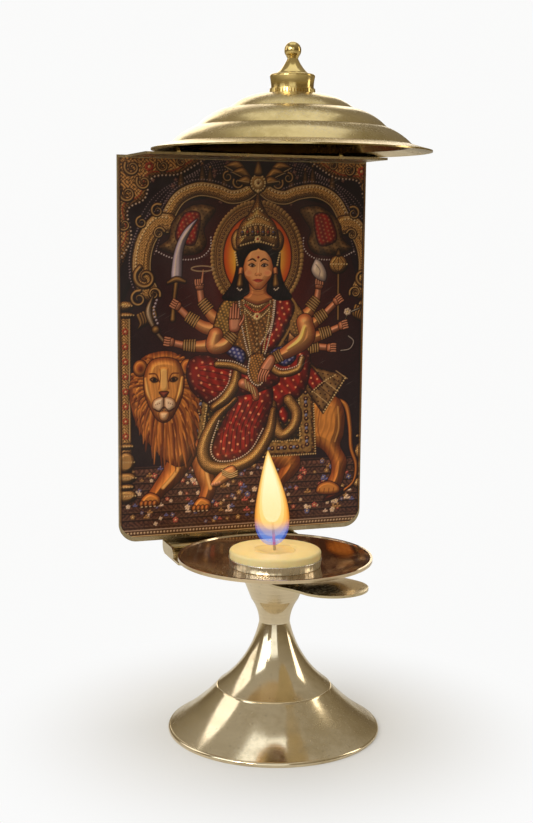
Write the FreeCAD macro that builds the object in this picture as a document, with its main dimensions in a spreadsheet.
import FreeCAD, Part
import Sketcher
import math
import os

# A brass picture lamp. A trumpet foot carries a round candle dish. A sheet-metal panel with a
# picture stands behind the dish, and a stepped round canopy with a finial hangs over it.
# Millimetres, +Z up. The origin is the foot's axis on the floor; the picture faces -Y.

Vector = FreeCAD.Vector

DRIVING_SIZES = {
    # trumpet foot
    "foot_radius": 45.0,
    "rim_bead_radius": 1.2,
    "ledge_radius": 24.4,
    "ledge_height": 19.0,
    "sheet": 1.0,
    "neck_radius": 6.5,
    "neck_height": 47.0,
    "cup_radius": 14.2,
    "cup_top": 67.5,
    "cup_web": 1.2,
    # bolted stack between foot and dish
    "plate": 1.0,
    "swivel_washer": 0.3,
    "swivel_washer_radius": 7.0,
    "stud_radius": 2.0,
    "running_gap": 0.06,
    "washer_radius": 4.5,
    "washer_gauge": 0.8,
    "nut_flat_radius": 3.5,
    "nut_height": 3.2,
    # dish
    "dish_radius": 41.0,
    "dish_depth": 5.1,
    "dish_well_radius": 21.0,
    "dish_bowl_radius": 33.0,
    # tealight
    "candle_radius": 19.8,
    "candle_height": 3.6,
    "candle_foil": 0.4,
    "wax_height": 6.8,
    "wick_radius": 0.75,
    "wick_length": 12.8,
    "wick_lean": 7.0,
    # picture panel
    "panel_width": 114.3,
    "panel_front": 42.8,
    "panel_bottom": 75.0,
    "panel_top": 242.3,
    "panel_corner": 8.0,
    "hood_width": 106.0,
    "hood_depth": 33.0,
    "print_gauge": 0.3,
    "print_bottom": 77.0,
    # arm from the stack to the panel
    "arm_left": 37.0,
    "arm_right": 25.0,
    "arm_top": 105.0,
    "cheek_top": 74.4,
    "left_cheek_front": 27.0,
    "right_cheek_front": 34.0,
    "arm_bend": 3.0,
    "arm_hub_radius": 12.0,
    "rivet_radius": 1.5,
    "rivet_head_radius": 2.6,
    # canopy and finial
    "canopy_radius": 55.5,
    "canopy_forward": 13.9,
    "canopy_brim": 242.95,
    "canopy_rise": 21.7,
    "canopy_rivet_circle": 51.5,
    "collar_radius": 9.1,
    "collar_height": 7.5,
    "knob_height": 12.5,
    "ball_radius": 3.35,
    # thumb handle
    "handle_length": 53.5,
    "handle_half_width": 14.5,
    "handle_hub_radius": 11.0,
    "handle_rise": 2.2,
    "handle_turn": 16.0,
}

doc = FreeCAD.newDocument("PictureLamp")
sheet = doc.addObject("Spreadsheet::Sheet", "Sizes")
for row, (alias, number) in enumerate(DRIVING_SIZES.items(), start=1):
    sheet.set(f"A{row}", alias)
    sheet.set(f"B{row}", str(number))
    sheet.setAlias(f"B{row}", alias)
doc.recompute()


# ---------------------------------------------------------------- sizes and drawing helpers

class Size:
    """A length: its value now, and the sheet formula that keeps it bound."""

    def __init__(self, value, formula):
        self.value = value
        self.formula = formula

    def joined(self, sign, other, value):
        return Size(value, f"({self.formula} {sign} {as_size(other).formula})")

    def __add__(self, other):
        return self.joined("+", other, self.value + as_size(other).value)

    def __sub__(self, other):
        return self.joined("-", other, self.value - as_size(other).value)

    def __mul__(self, other):
        return self.joined("*", other, self.value * as_size(other).value)

    def __truediv__(self, other):
        return self.joined("/", other, self.value / as_size(other).value)

    def __neg__(self):
        return self * -1


def as_size(number):
    """A plain number as a Size; a Size stays itself."""
    if isinstance(number, Size):
        return number
    return Size(float(number), f"({float(number)})")


def size(alias):
    """The driving size with this alias."""
    return Size(float(DRIVING_SIZES[alias]), f"Sizes.{alias}")


def bind(thing, path, length):
    """Keep one property of an object equal to a Size."""
    thing.setExpression(path, as_size(length).formula)


def origin_part(body, role):
    """A body's own origin plane or axis, found by its role."""
    return next(item for item in body.Origin.OriginFeatures if item.Role == role)


def new_body(name):
    body = doc.addObject("PartDesign::Body", name)
    body.Label = name
    body.AllowCompound = True
    return body


def new_sketch(body, name, plane, lift=None):
    """An empty sketch on one of the body's origin planes, lifted along the plane's normal."""
    sketch = body.newObject("Sketcher::SketchObject", name)
    sketch.AttachmentSupport = [(origin_part(body, plane), "")]
    sketch.MapMode = "FlatFace"
    if lift is not None:
        bind(sketch, "AttachmentOffset.Base.z", lift)
    return sketch


def end_at(sketch, side, point):
    """Which end of a side, 1 or 2, lies at a point."""
    to_first = sketch.getPoint(side, 1).distanceToPoint(point)
    to_second = sketch.getPoint(side, 2).distanceToPoint(point)
    return 1 if to_first < to_second else 2


def pin_point(sketch, geometry, end, place):
    """Hold one point of a sketch at a place given by two Sizes."""
    for kind, length in zip(("DistanceX", "DistanceY"), place):
        length = as_size(length)
        number = sketch.addConstraint(Sketcher.Constraint(kind, -1, 1, geometry, end, length.value))
        bind(sketch, f"Constraints[{number}]", length)


def draw_outline(sketch, corners, arcs=None):
    """A closed outline. arcs maps a side's number to a point that the side's arc passes."""
    arcs = arcs or {}
    points = [Vector(as_size(x).value, as_size(y).value, 0) for x, y in corners]
    count = len(points)
    sides = []
    for number in range(count):
        start = points[number]
        finish = points[(number + 1) % count]
        if number in arcs:
            across, up = arcs[number]
            middle = Vector(as_size(across).value, as_size(up).value, 0)
            curve = Part.Arc(start, middle, finish)
        else:
            curve = Part.LineSegment(start, finish)
        sides.append(sketch.addGeometry(curve, False))
    for number in range(count):
        before = sides[number - 1]
        after = sides[number]
        end_before = end_at(sketch, before, points[number])
        end_after = end_at(sketch, after, points[number])
        sketch.addConstraint(Sketcher.Constraint("Coincident", before, end_before, after, end_after))
        pin_point(sketch, after, end_after, corners[number])
    for number, place in arcs.items():
        on_arc = Vector(as_size(place[0]).value, as_size(place[1]).value, 0)
        mark = sketch.addGeometry(Part.Point(on_arc), True)
        pin_point(sketch, mark, 1, place)
        sketch.addConstraint(Sketcher.Constraint("PointOnObject", mark, 1, sides[number]))


def draw_circle(sketch, centre, radius):
    """A circle whose centre and radius are bound."""
    radius = as_size(radius)
    middle = Vector(as_size(centre[0]).value, as_size(centre[1]).value, 0)
    ring = sketch.addGeometry(Part.Circle(middle, Vector(0, 0, 1), radius.value), False)
    pin_point(sketch, ring, 3, centre)
    number = sketch.addConstraint(Sketcher.Constraint("Radius", ring, radius.value))
    bind(sketch, f"Constraints[{number}]", radius)


def pad(body, sketch, length, both_ways=False):
    feature = body.newObject("PartDesign::Pad", sketch.Name + "Pad")
    feature.Profile = sketch
    if both_ways:
        feature.SideType = "Symmetric"
    bind(feature, "Length", length)
    return feature


def pocket(body, sketch, length, both_ways=False):
    feature = body.newObject("PartDesign::Pocket", sketch.Name + "Pocket")
    feature.Profile = sketch
    if both_ways:
        feature.SideType = "Symmetric"
    bind(feature, "Length", length)
    return feature


def revolve(body, sketch):
    """Turn a section, drawn as radius and height on XZ, once round the body's Z axis."""
    feature = body.newObject("PartDesign::Revolution", sketch.Name + "Turn")
    feature.Profile = sketch
    feature.ReferenceAxis = (origin_part(body, "Z_Axis"), [""])
    feature.Angle = 360
    return feature


def turned_body(name, corners, arcs=None):
    """A body of revolution from one closed section."""
    body = new_body(name)
    section = new_sketch(body, name + "_section", "XZ_Plane")
    draw_outline(section, corners, arcs)
    revolve(body, section)
    return body


def ring_corners(inner, outer, low, high):
    """The section of a plain ring."""
    return [(inner, low), (outer, low), (outer, high), (inner, high)]


def put_on_canopy_axis(body):
    bind(body, "Placement.Base.y", -size("canopy_forward"))


def hexagon_corners(flat_radius):
    """The corners of a hexagon from the distance between its centre and a flat."""
    corner_radius = flat_radius / math.cos(math.pi / 6)
    turns = [math.pi / 3 * number for number in range(6)]
    return [(corner_radius * math.cos(turn), corner_radius * math.sin(turn)) for turn in turns]


sheet_gauge = size("sheet")
plate = size("plate")
swivel_washer = size("swivel_washer")
hole_radius = size("stud_radius") + size("running_gap")
cup_top = size("cup_top")
handle_level = cup_top + swivel_washer
arm_level = handle_level + plate + swivel_washer
dish_level = arm_level + plate + swivel_washer
candle_level = dish_level + sheet_gauge


# ---------------------------------------------------------------- trumpet foot

def make_foot_flare():
    """The lower shell: a beaded rim, a hollow flare, and a flat ledge for the bell."""
    foot = size("foot_radius")
    bead = size("rim_bead_radius")
    ledge = size("ledge_radius")
    top = size("ledge_height")
    body = new_body("foot_flare")
    shell = new_sketch(body, "flare_section", "XZ_Plane")
    corners = [
        (foot - 0.5, 1.8),
        (ledge + 0.3, top - 0.4),
        (ledge, top),
        (ledge - 4.2, top),
        (ledge - 4.2, top - sheet_gauge),
        (ledge - 0.7, top - sheet_gauge - 0.1),
        (foot - 1.4, 1.2),
    ]
    arcs = {0: (ledge + 8.3, top * 0.56), 5: (ledge + 7.3, top * 0.515)}
    draw_outline(shell, corners, arcs)
    revolve(body, shell)
    rim = new_sketch(body, "rim_section", "XZ_Plane")
    middle = foot - bead
    draw_outline(rim, [(middle - 0.8, 0), (middle + 0.8, 0)], {1: (middle, bead + 0.9)})
    revolve(body, rim)
    return body


def make_stem_bell():
    """The upper trumpet: a thin shell that narrows to the neck."""
    base = size("ledge_radius") - 0.25
    floor = size("ledge_height")
    neck = size("neck_radius")
    top = size("neck_height")
    corners = [
        (base, floor),
        (base, floor + 0.4),
        (neck, top),
        (neck - sheet_gauge, top),
        (base - 1.5, floor),
    ]
    arcs = {1: (neck + 6.2, floor + 12.6), 3: (neck + 5.1, floor + 12.0)}
    return turned_body("stem_bell", corners, arcs)


def make_neck_sleeve():
    """A short tube inside the neck that joins the bell to the cup."""
    outer = size("neck_radius") - sheet_gauge - 0.05
    low = size("neck_height") - 5.0
    high = size("neck_height") + 4.0
    return turned_body("neck_sleeve", ring_corners(outer - 1.2, outer, low, high))


def make_stem_cup():
    """The funnel on the neck, closed at the top by a flat web with the bolt hole."""
    neck = size("neck_radius")
    low = size("neck_height")
    rim = size("cup_radius")
    web = size("cup_web")
    corners = [
        (neck, low),
        (neck + 3.5, low + 10.0),
        (rim, cup_top),
        (hole_radius, cup_top),
        (hole_radius, cup_top - web),
        (rim - 2.0, cup_top - web),
        (neck + 2.4, low + 10.3),
        (neck - sheet_gauge, low),
    ]
    arcs = {0: (neck + 1.0, low + 5.2), 6: (neck - 0.05, low + 5.4)}
    return turned_body("stem_cup", corners, arcs)


# ---------------------------------------------------------------- dish and bolted stack

def make_dish():
    """A shallow pan: flat well, sloping bowl, wide flange, and a thin upright lip."""
    rim = size("dish_radius")
    well = size("dish_well_radius")
    bowl = size("dish_bowl_radius")
    lip_top = dish_level + size("dish_depth")
    floor = dish_level + sheet_gauge
    corners = [
        (0, dish_level),
        (well + 0.4, dish_level),
        (bowl + 0.6, lip_top - 3.4),
        (rim, lip_top - 1.4),
        (rim, lip_top),
        (rim - 0.9, lip_top),
        (rim - 1.3, lip_top - 0.6),
        (bowl, lip_top - 2.4),
        (well, floor),
        (0, floor),
    ]
    arcs = {1: (well + 7.6, dish_level + 0.6), 7: (well + 7.0, floor + 0.6)}
    return turned_body("dish", corners, arcs)


def make_dish_stud():
    """The threaded stud brazed under the dish, which every plate turns on."""
    stud = doc.addObject("Part::Cylinder", "dish_stud")
    stud.Label = "dish_stud"
    reach = size("cup_web") + size("washer_gauge") * 2 + size("nut_height") + 1.2
    bind(stud, "Radius", size("stud_radius"))
    bind(stud, "Height", dish_level - cup_top + reach)
    bind(stud, "Placement.Base.z", cup_top - reach)
    return stud


def make_swivel_washers():
    """Three thin fibre washers that keep the turning plates apart."""
    body = new_body("swivel_washers")
    pitch = plate + swivel_washer
    for number in range(3):
        low = cup_top + pitch * number
        section = new_sketch(body, f"washer_section_{number + 1}", "XZ_Plane")
        outer = size("swivel_washer_radius")
        draw_outline(section, ring_corners(hole_radius, outer, low, low + swivel_washer))
        revolve(body, section)
    return body


def make_cup_washer():
    """The flat washer under the cup's web."""
    high = cup_top - size("cup_web")
    low = high - size("washer_gauge")
    outer = size("washer_radius")
    return turned_body("cup_washer", ring_corners(hole_radius, outer, low, high))


def make_lock_washer():
    """A split spring washer between the flat washer and the nut."""
    high = cup_top - size("cup_web") - size("washer_gauge")
    low = high - size("washer_gauge")
    outer = size("washer_radius") - 0.8
    body = turned_body("lock_washer", ring_corners(hole_radius, outer, low, high))
    split = new_sketch(body, "split", "XY_Plane", high + 1.0)
    draw_outline(split, ring_corners(1.0, outer + 1.0, -0.35, 0.35))
    pocket(body, split, 3.0)
    return body


def make_hexagon_nut(name, low):
    """A hexagon nut with a clear bore, standing on the level low."""
    body = new_body(name)
    face = new_sketch(body, name + "_face", "XY_Plane", low)
    draw_outline(face, hexagon_corners(size("nut_flat_radius")))
    draw_circle(face, (0, 0), hole_radius)
    pad(body, face, size("nut_height"))
    return body


def make_stud_nut():
    low = cup_top - size("cup_web") - size("washer_gauge") * 2 - size("nut_height")
    return make_hexagon_nut("stud_nut", low)


# ---------------------------------------------------------------- tealight

def make_candle_cup():
    """The thin aluminium cup of the tealight."""
    outer = size("candle_radius")
    foil = size("candle_foil")
    top = candle_level + size("candle_height")
    corners = [
        (0, candle_level),
        (outer, candle_level),
        (outer, top),
        (outer - foil, top),
        (outer - foil, candle_level + foil),
        (0, candle_level + foil),
    ]
    return turned_body("candle_cup", corners)


TAB_RADIUS = 6.0
TAB_GAUGE = 0.3
TAB_COLLAR_RADIUS = 1.6
TAB_COLLAR_HEIGHT = 3.0
WICK_BORE_GAP = 0.05


def make_wick_tab():
    """The sheet-metal tab that holds the wick upright in the wax."""
    low = candle_level + size("candle_foil")
    bore = size("wick_radius") + WICK_BORE_GAP
    corners = [
        (bore, low),
        (TAB_RADIUS, low),
        (TAB_RADIUS, low + TAB_GAUGE),
        (TAB_COLLAR_RADIUS, low + TAB_GAUGE),
        (TAB_COLLAR_RADIUS, low + TAB_COLLAR_HEIGHT),
        (bore, low + TAB_COLLAR_HEIGHT),
    ]
    return turned_body("wick_tab", corners)


def make_candle_wax():
    """The wax, cast round the tab and the wick."""
    low = candle_level + size("candle_foil")
    top = candle_level + size("wax_height")
    bore = size("wick_radius") + WICK_BORE_GAP
    outer = size("candle_radius") - size("candle_foil")
    corners = [
        (TAB_RADIUS, low),
        (outer, low),
        (outer, top),
        (bore, top),
        (bore, low + TAB_COLLAR_HEIGHT),
        (TAB_COLLAR_RADIUS, low + TAB_COLLAR_HEIGHT),
        (TAB_COLLAR_RADIUS, low + TAB_GAUGE),
        (TAB_RADIUS, low + TAB_GAUGE),
    ]
    return turned_body("candle_wax", corners)


def make_candle_wick():
    """A round wick: upright in the wax, leaning a little above it."""
    low = candle_level + size("candle_foil")
    top = candle_level + size("wax_height")
    rooted = doc.addObject("Part::Cylinder", "wick_in_wax")
    bind(rooted, "Radius", size("wick_radius"))
    bind(rooted, "Height", top - low)
    bind(rooted, "Placement.Base.z", low)
    free = doc.addObject("Part::Cylinder", "wick_above_wax")
    free.Placement = FreeCAD.Placement(Vector(), FreeCAD.Rotation(Vector(0, -1, 0), 1))
    bind(free, "Radius", size("wick_radius"))
    bind(free, "Height", size("wick_length"))
    bind(free, "Placement.Base.z", top)
    bind(free, "Placement.Rotation.Angle", size("wick_lean"))
    wick = doc.addObject("Part::MultiFuse", "candle_wick")
    wick.Label = "candle_wick"
    wick.Shapes = [rooted, free]
    return wick


# ---------------------------------------------------------------- picture panel and its arm

RIVET_ROWS = (85.0, 98.0)
RIVET_COLUMNS = (-25.0, 15.0)


def draw_rivet_circles(sketch, radius):
    """One circle for each rivet between the arm and the panel, seen from the front."""
    for column in RIVET_COLUMNS:
        for row_height in RIVET_ROWS:
            draw_circle(sketch, (column, row_height), radius)


def panel_corners(half_width, bottom, top):
    """The panel's front outline, and the arcs of its two rounded lower corners."""
    corner = size("panel_corner")
    inset = corner * (1 - math.sqrt(0.5))
    corners = [
        (half_width - corner, bottom),
        (half_width, bottom + corner),
        (half_width, top),
        (-half_width, top),
        (-half_width, bottom + corner),
        (-half_width + corner, bottom),
    ]
    arcs = {
        0: (half_width - inset, bottom + inset),
        4: (-half_width + inset, bottom + inset),
    }
    return corners, arcs


def make_back_plate():
    """The panel: an upright sheet, with a narrower hood folded forward from its top edge."""
    half_width = size("panel_width") / 2
    front = size("panel_front")
    back = front + sheet_gauge
    top = size("panel_top")
    body = new_body("back_plate")
    face = new_sketch(body, "panel_face", "XZ_Plane", -back)
    draw_outline(face, *panel_corners(half_width, size("panel_bottom"), top))
    pad(body, face, sheet_gauge)
    hood = new_sketch(body, "hood", "XY_Plane", top - sheet_gauge)
    half_hood = size("hood_width") / 2
    draw_outline(hood, ring_corners(-half_hood, half_hood, back - size("hood_depth"), back))
    pad(body, hood, sheet_gauge)
    arm_holes = new_sketch(body, "panel_arm_holes", "XZ_Plane", -front)
    draw_rivet_circles(arm_holes, size("rivet_radius") + size("running_gap"))
    pocket(body, arm_holes, 6.0, both_ways=True)
    hood_holes = new_sketch(body, "hood_holes", "XY_Plane", top)
    draw_canopy_rivet_circles(hood_holes, size("rivet_radius") + size("running_gap"))
    pocket(body, hood_holes, 6.0, both_ways=True)
    return body


def make_picture_print():
    """The laminated picture on the panel's front."""
    margin = 0.35
    body = new_body("picture_print")
    face = new_sketch(body, "print_face", "XZ_Plane", -size("panel_front"))
    half_width = size("panel_width") / 2 - margin
    top = size("panel_top") - sheet_gauge - 0.2
    draw_outline(face, *panel_corners(half_width, size("print_bottom"), top))
    pad(body, face, size("print_gauge"))
    return body


def make_carrier_arm():
    """One folded plate: a hub on the stud, a floor under the dish, a riser and two cheeks."""
    front = size("panel_front") + sheet_gauge
    back = front + plate
    bend = size("arm_bend")
    top = size("arm_top")
    left = size("arm_left")
    right = size("arm_right")
    hub = size("arm_hub_radius")
    outer_bend = bend + plate
    slant = math.sqrt(0.5)
    outer_arc = (front - bend + outer_bend * slant, arm_level + outer_bend * (1 - slant))
    inner_arc = (front - bend + bend * slant, arm_level + plate + bend * (1 - slant))
    body = new_body("carrier_arm")
    strip = new_sketch(body, "arm_strip", "YZ_Plane", (right - left) / 2)
    corners = [
        (-hub, arm_level),
        (front - bend, arm_level),
        (back, arm_level + outer_bend),
        (back, top),
        (front, top),
        (front, arm_level + outer_bend),
        (front - bend, arm_level + plate),
        (-hub, arm_level + plate),
    ]
    draw_outline(strip, corners, {1: outer_arc, 5: inner_arc})
    pad(body, strip, left + right, both_ways=True)
    waste = new_sketch(body, "arm_waste", "XY_Plane", arm_level + plate + 0.5)
    draw_outline(waste, ring_corners(-left - 9, right + 9, -hub - 9, back + 9))
    waist = hub * 0.94
    shoulder = 20.0
    arm_plan = [
        (-left - 1, back + 5),
        (-left - 1, shoulder),
        (-waist, hub * 0.34),
        (waist, hub * 0.34),
        (right + 1, shoulder),
        (right + 1, back + 5),
    ]
    draw_outline(waste, arm_plan, {2: (0, -hub)})
    pocket(body, waste, plate + 1.0)
    cheek_top = size("cheek_top")
    cheek_round = 4.0
    for name, start, level in (
        ("left_cheek", size("left_cheek_front"), -left),
        ("right_cheek", size("right_cheek_front"), right - plate),
    ):
        cheek = new_sketch(body, name, "YZ_Plane", level)
        cheek_corners = [
            (start, arm_level),
            (front - bend, arm_level),
            (back, arm_level + outer_bend),
            (back, cheek_top),
            (start + cheek_round, cheek_top),
            (start, cheek_top - cheek_round),
        ]
        inset = cheek_round * (1 - slant)
        draw_outline(cheek, cheek_corners, {1: outer_arc, 4: (start + inset, cheek_top - inset)})
        pad(body, cheek, plate)
    bolt_hole = new_sketch(body, "arm_bolt_hole", "XY_Plane", arm_level + plate + 0.5)
    draw_circle(bolt_hole, (0, 0), hole_radius)
    pocket(body, bolt_hole, plate + 1.0)
    rivet_holes = new_sketch(body, "arm_rivet_holes", "XZ_Plane", -front)
    draw_rivet_circles(rivet_holes, size("rivet_radius") + size("running_gap"))
    pocket(body, rivet_holes, 6.0, both_ways=True)
    return body


def make_arm_rivets():
    """Four rivets, flush under the print, with flat round heads behind the arm."""
    front = size("panel_front")
    seat = front + sheet_gauge + plate
    head = 1.2
    body = new_body("arm_rivets")
    shanks = new_sketch(body, "arm_rivet_shanks", "XZ_Plane", -seat - head / 2)
    draw_rivet_circles(shanks, size("rivet_radius"))
    pad(body, shanks, sheet_gauge + plate + head / 2)
    heads = new_sketch(body, "arm_rivet_heads", "XZ_Plane", -seat - head)
    draw_rivet_circles(heads, size("rivet_head_radius"))
    pad(body, heads, head)
    return body


# ---------------------------------------------------------------- canopy and finial

def draw_canopy_rivet_circles(sketch, radius, from_canopy_axis=False):
    """Circles for the three rivets on the brim's rear half, seen from above."""
    circle = size("canopy_rivet_circle")
    centre = as_size(0) if from_canopy_axis else -size("canopy_forward")
    for degrees in (45, 90, 135):
        turn = math.radians(degrees)
        draw_circle(sketch, (circle * math.cos(turn), centre + circle * math.sin(turn)), radius)


def make_canopy_dome():
    """Three convex tiers with sharp steps between them, and a plain sloping brim."""
    brim = size("canopy_brim")
    edge = size("canopy_radius")
    crown = brim + size("canopy_rise")
    corners = [
        (hole_radius, crown),
        (9.3, crown),
        (24.5, brim + 16.0),
        (37.5, brim + 8.8),
        (edge - 8.0, brim + 2.2),
        (edge, brim),
        (edge, brim - 0.6),
        (edge - 8.6, brim + 1.2),
        (36.7, brim + 7.7),
        (23.7, brim + 14.9),
        (9.0, crown - sheet_gauge),
        (hole_radius, crown - sheet_gauge),
    ]
    arcs = {
        1: (18.2, brim + 19.9),
        2: (31.9, brim + 13.3),
        3: (43.4, brim + 5.75),
        7: (42.7, brim + 4.6),
        8: (31.1, brim + 12.2),
        9: (17.7, brim + 18.75),
    }
    body = turned_body("canopy_dome", corners, arcs)
    holes = new_sketch(body, "brim_holes", "XY_Plane", brim)
    draw_canopy_rivet_circles(holes, size("rivet_radius") + size("running_gap"), True)
    pocket(body, holes, 8.0, both_ways=True)
    put_on_canopy_axis(body)
    return body


def make_canopy_rivets():
    """Three rivets through the brim and the hood: flat heads above, flush ends below."""
    brim = size("canopy_brim")
    low = size("panel_top") - sheet_gauge
    head = 0.8
    head_level = brim + 1.2
    body = new_body("canopy_rivets")
    shanks = new_sketch(body, "canopy_rivet_shanks", "XY_Plane", low)
    draw_canopy_rivet_circles(shanks, size("rivet_radius"), True)
    pad(body, shanks, head_level - low + head / 2)
    heads = new_sketch(body, "canopy_rivet_heads", "XY_Plane", head_level)
    draw_canopy_rivet_circles(heads, size("rivet_head_radius"), True)
    pad(body, heads, head)
    put_on_canopy_axis(body)
    return body


def make_finial_stud():
    """The threaded stud that stands up through the crown and holds the finial."""
    stud = doc.addObject("Part::Cylinder", "finial_stud")
    stud.Label = "finial_stud"
    crown = size("canopy_brim") + size("canopy_rise")
    below = sheet_gauge + size("washer_gauge") + size("nut_height") + 0.8
    bind(stud, "Radius", size("stud_radius"))
    bind(stud, "Height", below + size("collar_height") + 2.6)
    bind(stud, "Placement.Base.y", -size("canopy_forward"))
    bind(stud, "Placement.Base.z", crown - below)
    return stud


def make_finial_washer():
    """The flat washer under the crown."""
    high = size("canopy_brim") + size("canopy_rise") - sheet_gauge
    low = high - size("washer_gauge")
    corners = ring_corners(hole_radius, size("washer_radius"), low, high)
    body = turned_body("finial_washer", corners)
    put_on_canopy_axis(body)
    return body


def make_finial_nut():
    """The nut that clamps the finial's stud under the crown."""
    crown = size("canopy_brim") + size("canopy_rise")
    low = crown - sheet_gauge - size("washer_gauge") - size("nut_height")
    body = make_hexagon_nut("finial_nut", low)
    put_on_canopy_axis(body)
    return body


KNURL_COUNT = 48


def make_finial_collar():
    """A hollow turned collar with a waist, a rounded upper edge and a knurled foot."""
    low = size("canopy_brim") + size("canopy_rise")
    high = low + size("collar_height")
    foot = size("collar_radius")
    waist = foot - 0.65
    inside = waist - 0.9
    edge = 0.9
    corners = [
        (inside, low),
        (foot, low),
        (foot - 0.15, low + 1.9),
        (waist, low + 2.1),
        (foot - 0.2, high - edge),
        (foot - 0.2 - edge, high),
        (hole_radius, high),
        (hole_radius, high - 1.2),
        (inside, high - 1.2),
    ]
    slant = edge * (1 - math.sqrt(0.5))
    arcs = {
        3: (waist + 0.03, (low + high) / 2),
        4: (foot - 0.2 - slant, high - slant),
    }
    body = turned_body("finial_collar", corners, arcs)
    notch = new_sketch(body, "knurl_notch", "XY_Plane", low + 1.6)
    draw_outline(notch, [(foot + 0.4, -0.45), (foot + 0.4, 0.45), (foot - 0.45, 0)])
    cut = pocket(body, notch, 1.6)
    knurl = body.newObject("PartDesign::PolarPattern", "knurl")
    knurl.Originals = [cut]
    knurl.Axis = (notch, ["N_Axis"])
    knurl.Angle = 360
    knurl.Occurrences = KNURL_COUNT
    body.Tip = knurl
    put_on_canopy_axis(body)
    return body


def make_finial_knob():
    """A trumpet-shaped base, a slim neck and a ball, bored from below for the stud."""
    low = size("canopy_brim") + size("canopy_rise") + size("collar_height")
    top = low + size("knob_height")
    ball = size("ball_radius")
    ball_centre = top - ball
    neck_turn = math.radians(40)
    neck = 2.1
    corners = [
        (hole_radius, low),
        (6.4, low),
        (6.0, low + 0.6),
        (neck, low + 6.0),
        (ball * math.cos(neck_turn), ball_centre - ball * math.sin(neck_turn)),
        (0, top),
        (0, low + 3.2),
        (hole_radius, low + 3.2),
    ]
    arcs = {2: (3.75, low + 3.1), 4: (ball, ball_centre)}
    body = turned_body("finial_knob", corners, arcs)
    put_on_canopy_axis(body)
    return body


# ---------------------------------------------------------------- thumb handle

def make_thumb_handle():
    """A leaf-shaped plate that turns on the stud and rises towards its rounded tip."""
    reach = size("handle_length")
    wide = size("handle_half_width")
    hub = size("handle_hub_radius")
    rise = size("handle_rise")
    bend_start = 14.0
    steepest = 27.0
    levelling = 40.0
    top = handle_level + plate
    body = new_body("thumb_handle")
    strip = new_sketch(body, "leaf_strip", "YZ_Plane")
    corners = [
        (hub, handle_level),
        (hub, top),
        (-bend_start, top),
        (-steepest, top + rise * 0.42),
        (-levelling, top + rise * 0.87),
        (-reach, top + rise),
        (-reach, handle_level + rise),
        (-levelling, handle_level + rise * 0.87),
        (-steepest, handle_level + rise * 0.42),
        (-bend_start, handle_level),
    ]
    first_bend = -(bend_start + steepest) / 2
    second_bend = -(steepest + levelling) / 2
    arcs = {
        2: (first_bend, top + rise * 0.13),
        3: (second_bend, top + rise * 0.72),
        7: (second_bend, handle_level + rise * 0.72),
        8: (first_bend, handle_level + rise * 0.13),
    }
    draw_outline(strip, corners, arcs)
    pad(body, strip, wide * 2 + 2, both_ways=True)
    waste = new_sketch(body, "leaf_waste", "XY_Plane", top + rise + 1)
    draw_outline(waste, ring_corners(-wide - 9, wide + 9, -reach - 9, hub + 9))
    root_x = hub * 0.87
    root_y = hub * -0.49
    leaf = [
        (-root_x, root_y),
        (-wide, -reach * 0.42),
        (-wide, -reach + wide),
        (wide, -reach + wide),
        (wide, -reach * 0.42),
        (root_x, root_y),
    ]
    leaf_arcs = {
        0: (-wide * 0.9, -reach * 0.235),
        2: (0, -reach + 0.1),
        4: (wide * 0.9, -reach * 0.235),
        5: (0, hub - 0.1),
    }
    draw_outline(waste, leaf, leaf_arcs)
    pocket(body, waste, rise + plate + 3)
    bolt_hole = new_sketch(body, "leaf_bolt_hole", "XY_Plane", top + 0.5)
    draw_circle(bolt_hole, (0, 0), hole_radius)
    pocket(body, bolt_hole, plate + 1.0)
    body.Placement = FreeCAD.Placement(Vector(), FreeCAD.Rotation(Vector(0, 0, 1), 1))
    bind(body, "Placement.Rotation.Angle", size("handle_turn"))
    return body


# ---------------------------------------------------------------- build, check and write

MAKERS = (
    make_foot_flare,
    make_stem_bell,
    make_neck_sleeve,
    make_stem_cup,
    make_dish,
    make_dish_stud,
    make_swivel_washers,
    make_cup_washer,
    make_lock_washer,
    make_stud_nut,
    make_candle_cup,
    make_wick_tab,
    make_candle_wax,
    make_candle_wick,
    make_back_plate,
    make_picture_print,
    make_carrier_arm,
    make_arm_rivets,
    make_canopy_dome,
    make_canopy_rivets,
    make_finial_stud,
    make_finial_washer,
    make_finial_nut,
    make_finial_collar,
    make_finial_knob,
    make_thumb_handle,
)


def check_document():
    """Stop if any object failed to compute, or if a cut took nothing away."""
    for thing in doc.Objects:
        if {"Invalid", "Error"} & set(thing.State):
            raise RuntimeError(f"{thing.Name} failed: {thing.State}")
        if thing.TypeId in ("PartDesign::Pocket", "PartDesign::PolarPattern"):
            if thing.Shape.Volume >= thing.BaseFeature.Shape.Volume:
                raise RuntimeError(f"{thing.Name} cuts nothing")


def write_steps(nodes):
    """Check each sub-part's shape and write it as its own STEP file."""
    os.makedirs("parts", exist_ok=True)
    for node in nodes:
        shape = node.Shape
        if shape.isNull() or not shape.isValid() or not shape.Solids:
            raise RuntimeError(f"{node.Label} has no sound solid")
        shape.exportStep(os.path.join("parts", node.Label + ".step"))
        print(f"{node.Label}: {len(shape.Solids)} solid(s), {shape.Volume:.1f} mm3")


nodes = [maker() for maker in MAKERS]
doc.recompute()
check_document()
write_steps(nodes)
